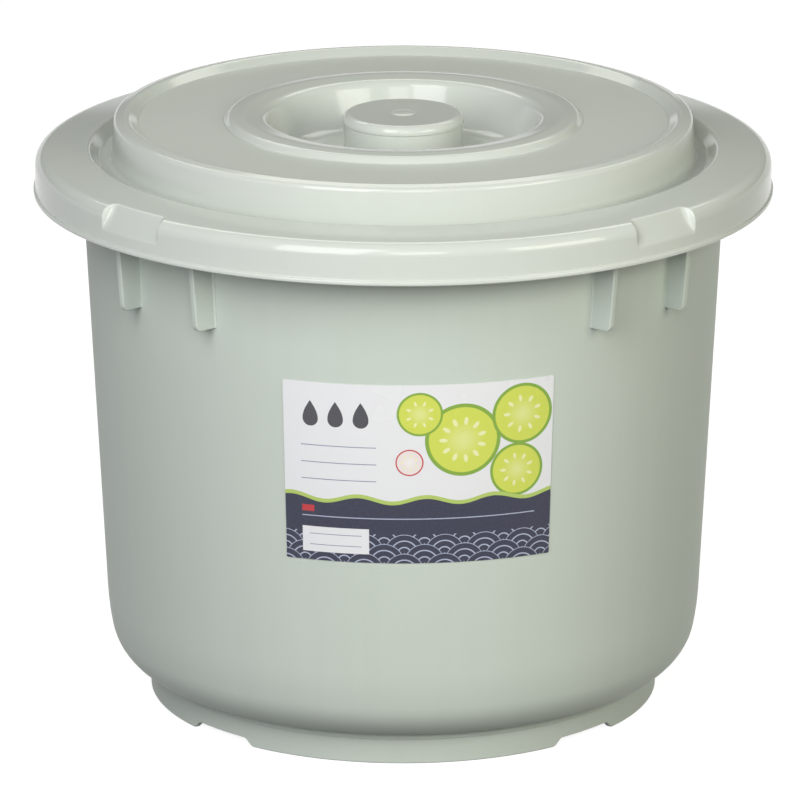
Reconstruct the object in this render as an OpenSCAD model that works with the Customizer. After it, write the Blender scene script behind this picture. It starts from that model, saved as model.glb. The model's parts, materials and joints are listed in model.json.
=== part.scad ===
// Pickling container: a round stackable tub with a lift-off lid, an inner press lid and a label.
// Millimetres, +Z up, origin at the centre of the foot, label towards -Y.

/* [Tub] */
// Height from the foot to the top of the rim
tub_h = 226; // [200:1:260]
// Outer radius of the wall just under the rim
tub_top_r = 130.6; // [127:0.1:134]
// How far the wall draws in from there down to the belly, where it starts to round in
belly_in = 9.1; // [6:0.1:12]
// Height of the belly
belly_z = 35.5; // [30:0.5:45]
// Radius of the belly's gentle curve
belly_round = 100; // [40:5:160]
// How far the slope below the belly draws in down to the level of the underside
heel_in = 4.6; // [2:0.1:7]
// Radius of the heel's tight curve
heel_round = 20; // [12:0.5:24]
// Thickness of the wall and the floor
tub_wall = 2.2; // [1.8:0.1:2.8]
// How far the turned-down rim stands out from the wall
rim_out = 12.4; // [11:0.1:16]
// Radius of the rim's outer corner
rim_round = 5; // [3.5:0.5:6.5]
// Radius of the rim's inner edge, round the mouth
mouth_round = 3.5; // [2.8:0.1:5]
// Height of the rim's turned-down lip
lip_h = 10; // [6:0.5:14]

/* [Foot] */
// Height of the underside above the foot
foot_h = 12; // [9:0.5:16]
// How far the foot ring is set in from the heel
foot_in = 12.5; // [11:0.1:16]
// Thickness of the foot ring
foot_wall = 2.6; // [2:0.1:4]
// Radius of the foot ring's lower edges
foot_round = 0.6; // [0.2:0.1:0.9]
// Height of the ledge between the foot ring and the heel
ledge_h = 1.6; // [0.8:0.1:3]
// How far the ledge stands out from the foot ring
ledge_out = 0.5; // [0.2:0.1:1]
// Width of a foot notch at the floor
notch_w = 33; // [20:1:45]
// Height of a foot notch
notch_h = 3.2; // [2.4:0.2:8]
// How far each end of a notch leans in
notch_lean = 3; // [1:0.5:4]
// Radius of a notch's upper corners
notch_round = 2; // [0.5:0.5:3]

/* [Ribs under the rim] */
// Distance between the two ribs of a pair
rib_gap = 42; // [28:1:56]
// Thickness of a rib
rib_t = 2.6; // [1.6:0.1:4]
// Length of a rib below the rim's underside
rib_len = 42; // [25:1:60]
// How far a rib stands out from the wall at its lower end
rib_out = 9.5; // [5:0.5:10]
// Outward lean of a rib's outer edge, in degrees
rib_lean = 5; // [3:0.5:6]
// Radius of a rib's lower outer corner
rib_round = 2.5; // [0.5:0.5:4]

/* [Lid] */
// Thickness of the lid
lid_wall = 2.1; // [1.6:0.1:2.6]
// Free gap between the tub's rim and the lid that rests on it
seat_gap = 0.3; // [0.2:0.05:0.6]
// Gap between the rim's lip and the inside of the skirt
skirt_gap = 4.1; // [3.4:0.1:6]
// Height of the skirt from the lip's lower edge to the flange
skirt_h = 17.1; // [15.5:0.1:22]
// Radius of the corner between flange and skirt
skirt_round = 5; // [3:0.5:6]
// How far the bead along the skirt's lower edge stands out
bead_out = 0.8; // [0.3:0.1:1.5]
// Height of that bead
bead_h = 1.9; // [1.4:0.1:3]
// Radius of that bead's outer edges
bead_round = 0.6; // [0.2:0.1:0.7]
// Gap between the wall's outside and the inner edge of the flange
plug_gap = 3.1; // [2.6:0.1:5]
// Depth of the groove between flange and plateau
groove_depth = 4.4; // [3:0.1:6]
// Width of the groove's floor
groove_w = 4.8; // [3:0.1:7]
// Radius of the groove's inner corners
groove_round = 1.8; // [0.5:0.1:2]
// Draft of the plateau's side wall
plateau_draft = 0.3; // [0.1:0.1:1]
// Radius of the plateau's upper edge
plateau_round = 4.5; // [3:0.5:5]
// Height of the flat top above the flange
flat_h = 11; // [8:0.5:16]
// Height of the stacking rim above the flat top
stack_h = 2.6; // [1.5:0.1:4]
// Gap between the foot of a stacked tub and the stacking rim
stack_gap = 2.6; // [1.5:0.1:4]
// Radius of the inner corners along the low steps of the top
step_round = 0.8; // [0.3:0.1:1.2]

/* [Knob and well] */
// Outer radius of the collar round the well
collar_r = 72.5; // [66:0.5:80]
// Height of the collar above the flat top
collar_h = 2.6; // [1.5:0.1:4]
// Radius of the well's mouth
well_r = 57.5; // [53:0.5:62]
// Radius of the well's floor
well_floor_r = 44; // [40:0.5:47]
// Radius of the curve round the well's floor
well_round = 8; // [4:0.5:10]
// Radius of the well's upper edge
well_edge_round = 3.1; // [2:0.1:5]
// Radius of the knob's bead
knob_r = 24.7; // [21:0.1:28]
// Height of the knob's bead above the flat top
knob_h = 3.2; // [2:0.1:6]
// Depth of the knob's hollowed top below its bead
knob_dip = 1.1; // [0.6:0.1:1.8]
// Height of the knob's bead
knob_bead_h = 3; // [2.6:0.1:4]
// How far the bead overhangs the knob's side
knob_lap = 0.5; // [0.2:0.1:1]
// Radius between the knob's side and the well's floor
knob_foot_round = 2.5; // [1:0.5:5]
// Radius of the lens-shaped pip on the knob
pip_r = 5.3; // [3:0.1:7]
// Height of that pip
pip_h = 0.7; // [0.3:0.1:1]

/* [Thumb scoops in the lid] */
// Width of a scoop
scoop_w = 32; // [20:1:44]
// Slope of a scoop's floor from upright, in degrees
scoop_slope = 32.4; // [28:0.2:38]
// Gap between a scoop's back and the tub's rim
scoop_clear = 0.9; // [0.5:0.1:1.2]
// How far the lid is turned on its seat, in degrees
lid_turn = -1.2; // [-20:0.1:20]

/* [Press lid] */
// Gap between the press lid's edge and the wall at the belly
press_gap = 10; // [7:0.5:20]
// Thickness of the plate and its edge
press_wall = 2.4; // [1.8:0.1:3.2]
// Height of the upturned edge
press_h = 16; // [12:0.5:22]
// Outward flare of the edge
press_flare = 3; // [1:0.5:5]
// Radius of the curve between plate and edge
press_round = 6; // [4:0.5:8]
// Gap between the plate and the tub's rounded heel
heel_gap = 1.5; // [0.8:0.1:4]
// Radius of the ring that the plate stands on
stand_r = 82; // [70:0.5:88]
// Radius of the hub ring round the grip
hub_r = 50; // [46:0.5:58]
// Height of the stiffening ribs and the hub above the plate
stiff_h = 7; // [4:0.5:9]
// Number of stiffening ribs
stiff_n = 8; // [4:2:12]
// Length of a finger slot
slot_l = 58; // [46:1:66]
// Width of a finger slot
slot_w = 22; // [18:1:26]
// Width of the grip bar between the finger slots
grip_w = 18; // [12:1:22]
// Radius of a drain hole
drain_r = 3.5; // [2:0.1:5]
// Number of drain holes between two stiffening ribs
drain_n = 2; // [1:1:3]

/* [Label] */
// Width along the wall
label_w = 108; // [60:1:160]
// Height
label_h = 74; // [40:1:90]
// Height of the lower edge above the foot
label_z = 91; // [60:1:95]
// Turn of the label's middle away from the front, in degrees
label_turn = 2.9; // [-10:0.1:10]
// Thickness of the film
label_t = 0.2; // [0.1:0.05:0.4]
// Thickness of the adhesive between wall and film
glue_t = 0.1; // [0.05:0.05:0.2]

/* [Hidden] */
$fn = 96;
// Largest angle between two chords of a rounded corner
arc_step = 12;
// Room by which a cutter passes the faces that it cuts
past = 1;
// The ribs and notches sit on the diagonals, and the scoops close to them
diagonals = [45, 135];
// Directions of the sides between the diagonals, and the angle that a side or a diagonal takes up
sides = [0, 90];
eighth = 45;

plastic = [0.76, 0.8, 0.76];
film = [0.93, 0.93, 0.95];

// Levels and radii of the tub
lip_z = tub_h - lip_h;
under_rim_z = tub_h - tub_wall;
floor_z = foot_h + tub_wall;
rib_z = under_rim_z - rib_len;
rim_joint_z = tub_h - mouth_round;
belly_r = tub_top_r - belly_in;
heel_r = belly_r - heel_in;
foot_r = heel_r - foot_in;
rim_r = tub_top_r + rim_out;
rim_centre = [rim_r - rim_round, tub_h - rim_round];
heel_lean = atan2(heel_in, belly_z - foot_h);

// Levels and radii of the lid, from the tub that it rests on
flange_z = tub_h + seat_gap + lid_wall;
skirt_r = rim_r + skirt_gap + lid_wall;
skirt_z = flange_z - skirt_h;
skirt_joint_z = flange_z - skirt_round;
flat_z = flange_z + flat_h;
groove_z = flange_z - groove_depth;
plug_r = tub_top_r - plug_gap;
plateau_r = plug_r - groove_depth - groove_w - plateau_draft;
stack_r = foot_r + ledge_out + stack_gap;
stack_z = flat_z + stack_h;
collar_z = flat_z + collar_h;
knob_z = flat_z + knob_h;
knob_top_z = knob_z - knob_dip;
knob_side_r = knob_r - knob_lap;

// Levels and radii of the press lid, from the tub that it stands in
press_r = belly_r - tub_wall - press_gap;
press_in_r = press_r - press_wall;
press_floor_r = press_in_r - press_flare;
press_z = floor_z + seat_gap + heel_rise(press_r, heel_round - tub_wall) + heel_gap;
press_top_z = press_z + press_wall;

// Radius of the wall's outside at a height
function wall_r(z) = belly_r + (tub_top_r - belly_r) * (z - belly_z) / (under_rim_z - belly_z);

// Height of the heel's curve of a given radius above the floor's own face, at a distance from the axis
function heel_rise(r, curve) =
    let (centre = heel_r - heel_round * tan((90 - heel_lean) / 2),
         out = min(max(r - centre, 0), curve))
    curve - sqrt(curve * curve - out * out);

// Radius at a height of the sloping line that lies at a distance from the centre of the rim's corner
function scoop_r(z, distance) =
    rim_centre.x + (distance - (z - rim_centre.y) * sin(scoop_slope)) / cos(scoop_slope);

// Paths: lists of corners [radius, height, corner radius]

function unit(v) = v / norm(v);
function turned(v, angle) = [v.x * cos(angle) - v.y * sin(angle), v.x * sin(angle) + v.y * cos(angle)];
function spot(path, i) = [path[i][0], path[i][1]];
function last(path) = len(path) - 1;

// Direction of the stretch that leaves corner i, and its length
function heading(path, i) = unit(spot(path, i + 1) - spot(path, i));
function reach(path, i) = norm(spot(path, i + 1) - spot(path, i));

// Turn to the left at corner i, in degrees
function bend(path, i) =
    let (before = heading(path, i - 1), after = heading(path, i))
    atan2(cross(before, after), before * after);

// Length that the rounding of corner i takes from the stretches beside it
function taken(path, i) =
    i == 0 || i == last(path) ? 0 : path[i][2] * tan(abs(bend(path, i)) / 2);

// Share of its radius that corner i can have before it meets a neighbour's rounding
function share(path, i) =
    let (before = taken(path, i - 1) + taken(path, i), after = taken(path, i) + taken(path, i + 1))
    min(1, before > 0 ? reach(path, i - 1) / before : 1, after > 0 ? reach(path, i) / after : 1);

// The path with each corner radius limited by the stretches beside it
function eased(path) =
    [for (i = [0 : last(path)])
        i == 0 || i == last(path) ? path[i] : [path[i][0], path[i][1], path[i][2] * share(path, i)]];

// The path moved to its right-hand side by a distance, with its roundings kept parallel
function shifted(path, distance) =
    [for (i = [0 : last(path)])
        let (before = heading(path, max(i - 1, 0)),
             after = heading(path, min(i, last(path) - 1)),
             right_before = [before.y, -before.x],
             right_after = [after.y, -after.x],
             moved = spot(path, i) + distance * (right_before + right_after) / (1 + right_before * right_after))
        [moved.x, moved.y, max(0, path[i][2] + distance * sign(cross(before, after)))]];

// Points along the rounding of corner i
function rounding(path, i) =
    let (angle = bend(path, i),
         along = heading(path, i - 1),
         start = spot(path, i) - along * taken(path, i),
         centre = start + path[i][2] * sign(angle) * [-along.y, along.x],
         chords = max(2, ceil(abs(angle) / arc_step)))
    [for (k = [0 : chords]) centre + turned(start - centre, angle * k / chords)];

// Points of a path with its corners rounded
function rounded(path) =
    [for (i = [0 : last(path)]) each path[i][2] == 0 ? [spot(path, i)] : rounding(path, i)];

function reversed(list) = [for (i = [last(list) : -1 : 0]) list[i]];

// Closed outline of a wall of even thickness on the right-hand side of a path
function shell(path, thickness) =
    let (near = eased(path)) concat(rounded(near), reversed(rounded(shifted(near, thickness))));

// A solid of revolution from an outline
module turn(outline) rotate_extrude() polygon(outline);

// Straight bars through the axis, at each of some angles
module bars(angles, width, low, high, length) {
    for (angle = angles)
        rotate([0, 0, angle])
            translate([-length, -width / 2, low])
                cube([2 * length, width, high - low]);
}

// The tub is one moulding. Its rim, lip, ribs and foot ring are modelled apart and meet it face to face.

// Outside of the tub from the joint with its rim down the wall to the floor's centre
tub_path = [
    [wall_r(rim_joint_z), rim_joint_z, 0],
    [belly_r, belly_z, belly_round],
    [heel_r, foot_h, heel_round],
    [0, foot_h, 0]];

module tub() {
    color(plastic) turn(shell(tub_path, tub_wall));
}

// Inside of the rim's outer corner, underside of the rim and outside of the wall down to the joint
rim_path = [
    [rim_r - tub_wall, rim_centre.y, 0],
    [rim_r - tub_wall, under_rim_z, rim_round - tub_wall],
    [tub_top_r, under_rim_z, mouth_round - tub_wall],
    [wall_r(rim_joint_z), rim_joint_z, 0]];

module rim() {
    color(plastic) turn(shell(rim_path, tub_wall));
}

// Turned-down lip, from the rim's outer corner to its lower edge
lip_path = [
    [rim_r - tub_wall, lip_z, 0],
    [rim_r - tub_wall, rim_centre.y, 0]];

// Arcs of the lip at both ends of some directions
module lip_arcs(angles) {
    color(plastic)
        for (angle = angles, end = [0, 180])
            rotate([0, 0, angle + end - eighth / 2])
                rotate_extrude(angle = eighth)
                    polygon(shell(lip_path, tub_wall));
}

// The lip comes in four arcs between the pairs of ribs and four arcs that carry the ribs
module lip() lip_arcs(sides);
module rib_lip() lip_arcs(diagonals);

// Foot ring with the ledge over it, up to the middle of the heel's thickness
foot_top_z = foot_h + heel_rise(foot_r + ledge_out, heel_round) + tub_wall / 2;
ledge_z = foot_h - ledge_h;
foot_path = [
    [foot_r - foot_wall, foot_top_z, 0],
    [foot_r - foot_wall, 0, foot_round],
    [foot_r, 0, foot_round],
    [foot_r, ledge_z, 0],
    [foot_r + ledge_out, ledge_z, 0],
    [foot_r + ledge_out, foot_top_z, 0]];

// Section of the space between wall and lip that the ribs fill
rib_room = concat(
    rounded(eased(rim_path)),
    [[wall_r(rib_z - past), rib_z - past], [rim_r - tub_wall, rib_z - past]]);

// One rib, as a plate in the plane of X and Z
rib_foot_x = sqrt(pow(wall_r(rib_z), 2) - pow(rib_gap / 2, 2)) + rib_out;
rib_path = [
    [wall_r(rib_z) - rib_gap, rib_z, 0],
    [rib_foot_x, rib_z, rib_round],
    [rib_foot_x + (tub_h - rib_z) * tan(rib_lean), tub_h, 0],
    [wall_r(rib_z) - rib_gap, tub_h, 0]];

module rib() {
    rotate([90, 0, 0])
        linear_extrude(height = rib_t, center = true)
            polygon(rounded(eased(rib_path)));
}

// A pair of ribs at both ends of each diagonal
module ribs() {
    color(plastic)
        intersection() {
            for (angle = diagonals, end = [0, 180], side = [-1, 1])
                rotate([0, 0, angle + end])
                    translate([0, side * rib_gap / 2, 0])
                        rib();
            turn(rib_room);
        }
}

// Bars with leaning ends and rounded upper edges that cut the notches into both ends of each diagonal
notch_top_w = notch_w - 2 * notch_lean;
notch_bar_w = notch_w + 2 * notch_lean * past / notch_h;
notch_path = [
    [notch_bar_w / 2, -past, 0],
    [notch_top_w / 2, notch_h, notch_round],
    [-notch_top_w / 2, notch_h, notch_round],
    [-notch_bar_w / 2, -past, 0]];

module foot_notches() {
    for (angle = diagonals)
        rotate([90, 0, angle])
            linear_extrude(height = 2 * (foot_r + ledge_out + past), center = true)
                polygon(rounded(eased(notch_path)));
}

module foot() {
    color(plastic)
        difference() {
            turn(rounded(eased(foot_path)));
            turn(shell(tub_path, tub_wall));
            foot_notches();
        }
}

// The lid is one moulding. Its skirt is modelled apart and meets it face to face.

// Top of the lid from the knob's centre out to the joint with the skirt
lid_path = [
    [0, knob_top_z, 0],
    [knob_side_r, knob_top_z, lid_wall],
    [knob_side_r, groove_z, knob_foot_round],
    [well_floor_r, groove_z, well_round],
    [well_r, collar_z, well_edge_round],
    [collar_r - collar_h / 2, collar_z, lid_wall],
    [collar_r, flat_z, step_round],
    [stack_r, flat_z, step_round],
    [stack_r + stack_h / 2, stack_z, lid_wall / 2],
    [plateau_r, stack_z, plateau_round],
    [plateau_r + plateau_draft, groove_z, groove_round],
    [plug_r - groove_depth, groove_z, groove_round],
    [plug_r, flange_z, lid_wall],
    [skirt_r, flange_z, skirt_round],
    [skirt_r, skirt_joint_z, 0]];

// Outside of the skirt, and the bead along its lower edge
skirt_path = [
    [skirt_r, skirt_joint_z, 0],
    [skirt_r, skirt_z, 0]];
skirt_bead_path = [
    [skirt_r - lid_wall / 2, skirt_z, 0],
    [skirt_r + bead_out, skirt_z, bead_round],
    [skirt_r + bead_out, skirt_z + bead_h, bead_round],
    [skirt_r - lid_wall / 2, skirt_z + bead_h, 0]];

// Rounded bead round the knob's hollowed top
knob_bead_w = knob_bead_h + knob_lap;
knob_bead_path = [
    [knob_side_r - lid_wall / 2, knob_z - knob_bead_h, 0],
    [knob_r, knob_z - knob_bead_h, knob_lap / 2],
    [knob_r, knob_z, knob_bead_h - knob_lap],
    [knob_r - knob_bead_w + knob_dip, knob_z, knob_dip / 2],
    [knob_r - knob_bead_w, knob_top_z, 0],
    [knob_r - knob_bead_w, knob_top_z - lid_wall / 2, 0]];

// Lens-shaped pip on the knob, part of a ball, sunk to the middle of the knob's top
pip_ball = (pip_r * pip_r + pip_h * pip_h) / (2 * pip_h);
pip_half = asin(pip_r / pip_ball);
pip_chords = 5;
pip_outline = concat(
    [[0, knob_top_z - lid_wall / 2], [pip_r, knob_top_z - lid_wall / 2]],
    [for (k = [0 : pip_chords])
        let (angle = pip_half * (1 - k / pip_chords))
        [pip_ball * sin(angle), knob_top_z + pip_h - pip_ball * (1 - cos(angle))]]);

// A scoop's floor follows the rim's corner at a distance, with the lid's thickness behind it
scoop_back = rim_round + scoop_clear;
scoop_floor = scoop_back + lid_wall;
scoop_high = flange_z + past;
scoop_cut = [
    [scoop_r(scoop_high, scoop_floor), scoop_high],
    [scoop_r(skirt_z, scoop_floor), skirt_z],
    [scoop_r(skirt_z, scoop_floor) + skirt_r, skirt_z],
    [scoop_r(skirt_z, scoop_floor) + skirt_r, scoop_high]];

// Pad behind a scoop, let into the middle of the lid's thickness
pad_r = skirt_r - lid_wall / 2;
pad_high = flange_z - lid_wall / 2;
pad_low = rim_centre.y + (scoop_back - (pad_r - rim_centre.x) * cos(scoop_slope)) / sin(scoop_slope);
pad_path = [
    [scoop_r(pad_high, scoop_back), pad_high, 0],
    [pad_r, pad_low, 0],
    [pad_r, pad_high, skirt_round - lid_wall / 2],
    [scoop_r(pad_high, scoop_back), pad_high, 0]];

// The lid turns freely on its seat, and its scoops with it
scoop_angles = [for (angle = diagonals) angle + lid_turn];

// Scoops at both ends of each of these angles, cut into what is given, with their pads between two levels
module scooped(low, high) {
    difference() {
        union() {
            children();
            intersection() {
                turn(rounded(eased(pad_path)));
                bars(scoop_angles, scoop_w + 2 * lid_wall, low, high, skirt_r);
            }
        }
        intersection() {
            turn(scoop_cut);
            bars(scoop_angles, scoop_w, skirt_z - past, scoop_high + past, skirt_r + past);
        }
    }
}

module lid() {
    color(plastic)
        scooped(skirt_joint_z, scoop_high) {
            turn(shell(lid_path, lid_wall));
            turn(rounded(eased(knob_bead_path)));
            turn(pip_outline);
        }
}

module skirt() {
    color(plastic)
        scooped(skirt_z, skirt_joint_z) {
            turn(shell(skirt_path, lid_wall));
            turn(rounded(eased(skirt_bead_path)));
        }
}

// Top of the press lid from its centre out to the top of its edge
press_path = [
    [0, press_top_z, 0],
    [press_floor_r, press_top_z, press_round],
    [press_in_r, press_z + press_h, 0]];

// Ring under the plate, down to just over the tub's floor
stand_outline = [
    [stand_r - press_wall, floor_z + seat_gap],
    [stand_r, floor_z + seat_gap],
    [stand_r, press_z + press_wall / 2],
    [stand_r - press_wall, press_z + press_wall / 2]];

// Hub ring round the grip, and the section that the stiffening ribs fill out to the edge
stiff_z = press_top_z + stiff_h;
hub_outline = [
    [hub_r - press_wall, press_z + press_wall / 2],
    [hub_r, press_z + press_wall / 2],
    [hub_r, stiff_z],
    [hub_r - press_wall, stiff_z]];
press_edge = shifted(press_path, press_wall / 2);
stiff_edge_r = press_edge[1][0] + (press_edge[2][0] - press_edge[1][0])
    * (stiff_z - press_edge[1][1]) / (press_edge[2][1] - press_edge[1][1]);
stiff_path = [
    [hub_r - press_wall / 2, press_edge[1][1], 0],
    [press_edge[1][0], press_edge[1][1], press_round + press_wall / 2],
    [stiff_edge_r, stiff_z, 0],
    [hub_r - press_wall / 2, stiff_z, 0]];

// Finger slot: a straight slot with round ends, along Y
module finger_slot() {
    run = slot_l - slot_w;
    square([slot_w, run], center = true);
    for (end = [-1, 1])
        translate([0, end * run / 2])
            circle(d = slot_w);
}

module press_lid() {
    slot_x = (grip_w + slot_w) / 2;
    drain_ring_r = (hub_r + stand_r - press_wall) / 2;
    color(plastic)
        difference() {
            union() {
                turn(shell(press_path, press_wall));
                turn(stand_outline);
                turn(hub_outline);
                intersection() {
                    turn(rounded(eased(stiff_path)));
                    bars([for (i = [0 : stiff_n / 2 - 1]) 360 / stiff_n * (i + 0.5)],
                        press_wall, press_z, stiff_z + past, press_r);
                }
            }
            for (side = [-1, 1])
                translate([side * slot_x, 0, press_z - past])
                    linear_extrude(height = press_wall + 2 * past)
                        finger_slot();
            for (i = [0 : stiff_n - 1], k = [0 : drain_n - 1])
                rotate([0, 0, 360 / stiff_n * (i + 0.5 + (k + 0.5) / drain_n)])
                    translate([drain_ring_r, 0, press_z - past])
                        cylinder(r = drain_r, h = press_wall + 2 * past);
        }
}

// The label's back follows the wall's cone
label_angle = label_w / wall_r(label_z + label_h / 2) * 180 / PI;
label_top = label_z + label_h;
label_out = glue_t + label_t;
label_outline = [
    [wall_r(label_z) + glue_t, label_z],
    [wall_r(label_z) + label_out, label_z],
    [wall_r(label_top) + label_out, label_top],
    [wall_r(label_top) + glue_t, label_top]];

module label() {
    color(film)
        rotate([0, 0, label_turn - 90 - label_angle / 2])
            rotate_extrude(angle = label_angle)
                polygon(label_outline);
}

tub();
rim();
lip();
rib_lip();
ribs();
foot();
lid();
skirt();
press_lid();
label();
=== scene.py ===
# %% [markdown]
# # A pickling container
# A round tub of pale moulded plastic with a lid that lifts off, a press lid inside and a label in front.
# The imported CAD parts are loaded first. They fix every size and place, and each visual piece made below
# takes the place of some of them. Blender starts with a cube, a lamp and a camera, which go first.

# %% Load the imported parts
import cmath
import json
import math
import bmesh
import bpy
import numpy as np
from mathutils import Matrix, Vector

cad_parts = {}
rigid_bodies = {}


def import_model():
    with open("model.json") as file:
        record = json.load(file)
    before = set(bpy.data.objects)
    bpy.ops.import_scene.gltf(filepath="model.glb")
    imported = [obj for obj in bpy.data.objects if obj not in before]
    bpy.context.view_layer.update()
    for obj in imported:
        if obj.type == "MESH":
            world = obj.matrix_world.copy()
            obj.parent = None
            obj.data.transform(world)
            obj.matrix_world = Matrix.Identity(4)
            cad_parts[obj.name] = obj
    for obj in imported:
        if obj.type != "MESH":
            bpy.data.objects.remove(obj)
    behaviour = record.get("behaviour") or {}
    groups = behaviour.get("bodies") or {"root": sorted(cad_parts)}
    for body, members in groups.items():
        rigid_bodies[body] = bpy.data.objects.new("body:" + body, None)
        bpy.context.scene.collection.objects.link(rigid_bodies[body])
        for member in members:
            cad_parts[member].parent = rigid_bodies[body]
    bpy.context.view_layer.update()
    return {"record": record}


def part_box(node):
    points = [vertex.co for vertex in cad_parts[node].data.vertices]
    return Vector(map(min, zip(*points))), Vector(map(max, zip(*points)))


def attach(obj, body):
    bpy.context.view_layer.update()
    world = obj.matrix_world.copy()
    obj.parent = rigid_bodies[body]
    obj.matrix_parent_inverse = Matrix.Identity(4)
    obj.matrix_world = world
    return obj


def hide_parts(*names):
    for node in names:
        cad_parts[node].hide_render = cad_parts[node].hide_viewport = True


for left_over in list(bpy.data.objects):
    bpy.data.objects.remove(left_over)
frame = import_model()
MM = 0.001

# %% [markdown]
# ## Sections drawn as corners
# Tub, lid and press lid are round mouldings, so each is a section turned about the upright axis.
# A section is drawn the way a maker sketches it: a short list of corners, each with a rounding.
# A point is kept as one complex number, radius plus height times i, because a turn is then a product.
# A flat stretch gets a point close to each end, which keeps it flat under smooth shading.

# %% Corners with roundings
SHORTFALL = 0.02
SUPPORT = 0.25
LONGEST = 16


def stretch(start, end):
    """Points between two ends of a straight run: one close to each end, and more where the run is long."""
    run = abs(end - start)
    if run < 5 * SUPPORT:
        return []
    pieces = max(1, math.ceil(run / LONGEST))
    shares = np.linspace(SUPPORT / run, 1 - SUPPORT / run, pieces + 1)
    return [start + (end - start) * share for share in shares]


def rounded(path, shortfall=SHORTFALL):
    """Points along a path of corners (radius, height, rounding). A rounding becomes an arc of short chords,
    whose middles fall short of the true arc by no more than a given length."""
    spots = [complex(r, z) for r, z, _ in path]
    points = [spots[0]]
    for before, spot, after, (_, _, radius) in zip(spots, spots[1:], spots[2:], path[1:]):
        arrive = (spot - before) / abs(spot - before)
        turn = cmath.phase((after - spot) / abs(after - spot) / arrive)
        start = spot - arrive * radius * math.tan(abs(turn) / 2)
        centre = start + 1j * arrive * math.copysign(radius, turn)
        chords = math.ceil(abs(turn) / (2 * math.acos(1 - min(shortfall / radius, 0.1)))) if radius else 1
        points += stretch(points[-1], start)
        points += [centre + (start - centre) * cmath.exp(1j * turn * k / chords) for k in range(chords + 1)]
    return points + stretch(points[-1], spots[-1]) + [spots[-1]]


def shifted(path, gap):
    """The path moved to its right-hand side by a gap: the other face of a wall of that thickness."""
    spots = [complex(r, z) for r, z, _ in path]
    ways = [(b - a) / abs(b - a) for a, b in zip(spots, spots[1:])]
    moved = []
    for spot, arrive, leave, (_, _, radius) in zip(spots, [ways[0], *ways], [*ways, ways[-1]], path):
        side = -1j * (arrive + leave) / (1 + (arrive * leave.conjugate()).real)
        turn = cmath.phase(leave / arrive)
        grown = radius + math.copysign(gap, turn) if radius else 0
        moved.append(((spot + gap * side).real, (spot + gap * side).imag, max(0, grown)))
    return moved


sample_corner = rounded([(0, 0, 0), (10, 0, 2), (10, 10, 0)])
print("a corner with a rounding of 2 mm becomes", len(sample_corner), "points")

# %% [markdown]
# ## Node trees written as sums
# Geometry and shader trees are built from the same few helpers. A Field wraps a number inside a tree,
# and Python's signs on it add Math nodes, so a rule reads like the formula it stands for.

# %% Numbers inside a tree
class Field:
    """A number inside a node tree. Adding, multiplying and so on adds Math nodes to the tree."""

    def __init__(self, tree, source):
        self.tree = tree
        self.source = source

    def math(self, operation, *others):
        inputs = dict(enumerate((self, *others)))
        return Field(self.tree, place(self.tree, "ShaderNodeMath", inputs, operation=operation))

    def __add__(self, other):
        return self.math("ADD", other)

    def __sub__(self, other):
        return self.math("SUBTRACT", other)

    def __rsub__(self, other):
        return self.math("MULTIPLY_ADD", -1.0, other)

    def __mul__(self, other):
        return self.math("MULTIPLY", other)

    def __truediv__(self, other):
        return self.math("DIVIDE", other)

    def clipped(self):
        """The number kept between 0 and 1."""
        return self.math("MAXIMUM", 0.0).math("MINIMUM", 1.0)

    def eased(self):
        """The number kept between 0 and 1, with a soft start and end."""
        share = self.clipped()
        return share * share * (3.0 - share * 2.0)


# %% Placing and joining nodes
def plug(tree, value, socket):
    """Joins a node's input to what gives its value, such as a node's first output, or sets it."""
    value = value.source if isinstance(value, Field) else value
    value = value.outputs[0] if isinstance(value, bpy.types.Node) else value
    if isinstance(value, bpy.types.NodeSocket):
        tree.links.new(value, socket)
    else:
        socket.default_value = value


def feed(tree, node, inputs):
    """Plugs several inputs of a node, given by name."""
    for name, value in inputs.items():
        plug(tree, value, node.inputs[name])


def place(tree, kind, inputs=None, **settings):
    """A new node of a kind, with its settings made and its inputs plugged."""
    node = tree.nodes.new(kind)
    for name, value in settings.items():
        setattr(node, name, value)
    feed(tree, node, inputs or {})
    return node


# %% [markdown]
# A geometry tree gets named inputs, so that its sizes can be set on the modifier. Every tree ends the
# same way: instances become real, because an export drops them, and the finish is set.

# %% Geometry trees
def geometry_tree(name, *numbers, **others):
    """An empty geometry tree with inputs for numbers, for others of a kind and for a finish.
    Gives the tree and its inputs by name."""
    tree = bpy.data.node_groups.new(name, "GeometryNodeTree")
    tree.interface.new_socket("Geometry", in_out="OUTPUT", socket_type="NodeSocketGeometry")
    kinds = {"Geometry": "Geometry", **others, **dict.fromkeys(numbers, "Float"), "Finish": "Material"}
    for label, kind in kinds.items():
        tree.interface.new_socket(label, in_out="INPUT", socket_type="NodeSocket" + kind)
    given = dict(tree.nodes.new("NodeGroupInput").outputs.items())
    for label in numbers:
        given[label] = Field(tree, given[label])
    return tree, given


def ended(tree, geometry, given):
    """Ends a geometry tree: instances made real, faces shaded smooth and the finish set."""
    real = place(tree, "GeometryNodeRealizeInstances", {"Geometry": geometry})
    smooth = place(tree, "GeometryNodeSetShadeSmooth", {"Geometry": real})
    done = place(tree, "GeometryNodeSetMaterial", {"Geometry": smooth, "Material": given["Finish"]})
    plug(tree, done, tree.nodes.new("NodeGroupOutput").inputs[0])
    return tree


def worked(obj, tree, **inputs):
    """Puts a geometry tree on an object and sets its inputs, by the identifier of each socket."""
    modifier = obj.modifiers.new(tree.name, "NODES")
    modifier.node_group = tree
    for item in tree.interface.items_tree:
        if item.in_out == "INPUT" and item.name in inputs:
            modifier[item.identifier] = inputs[item.name]


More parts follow.
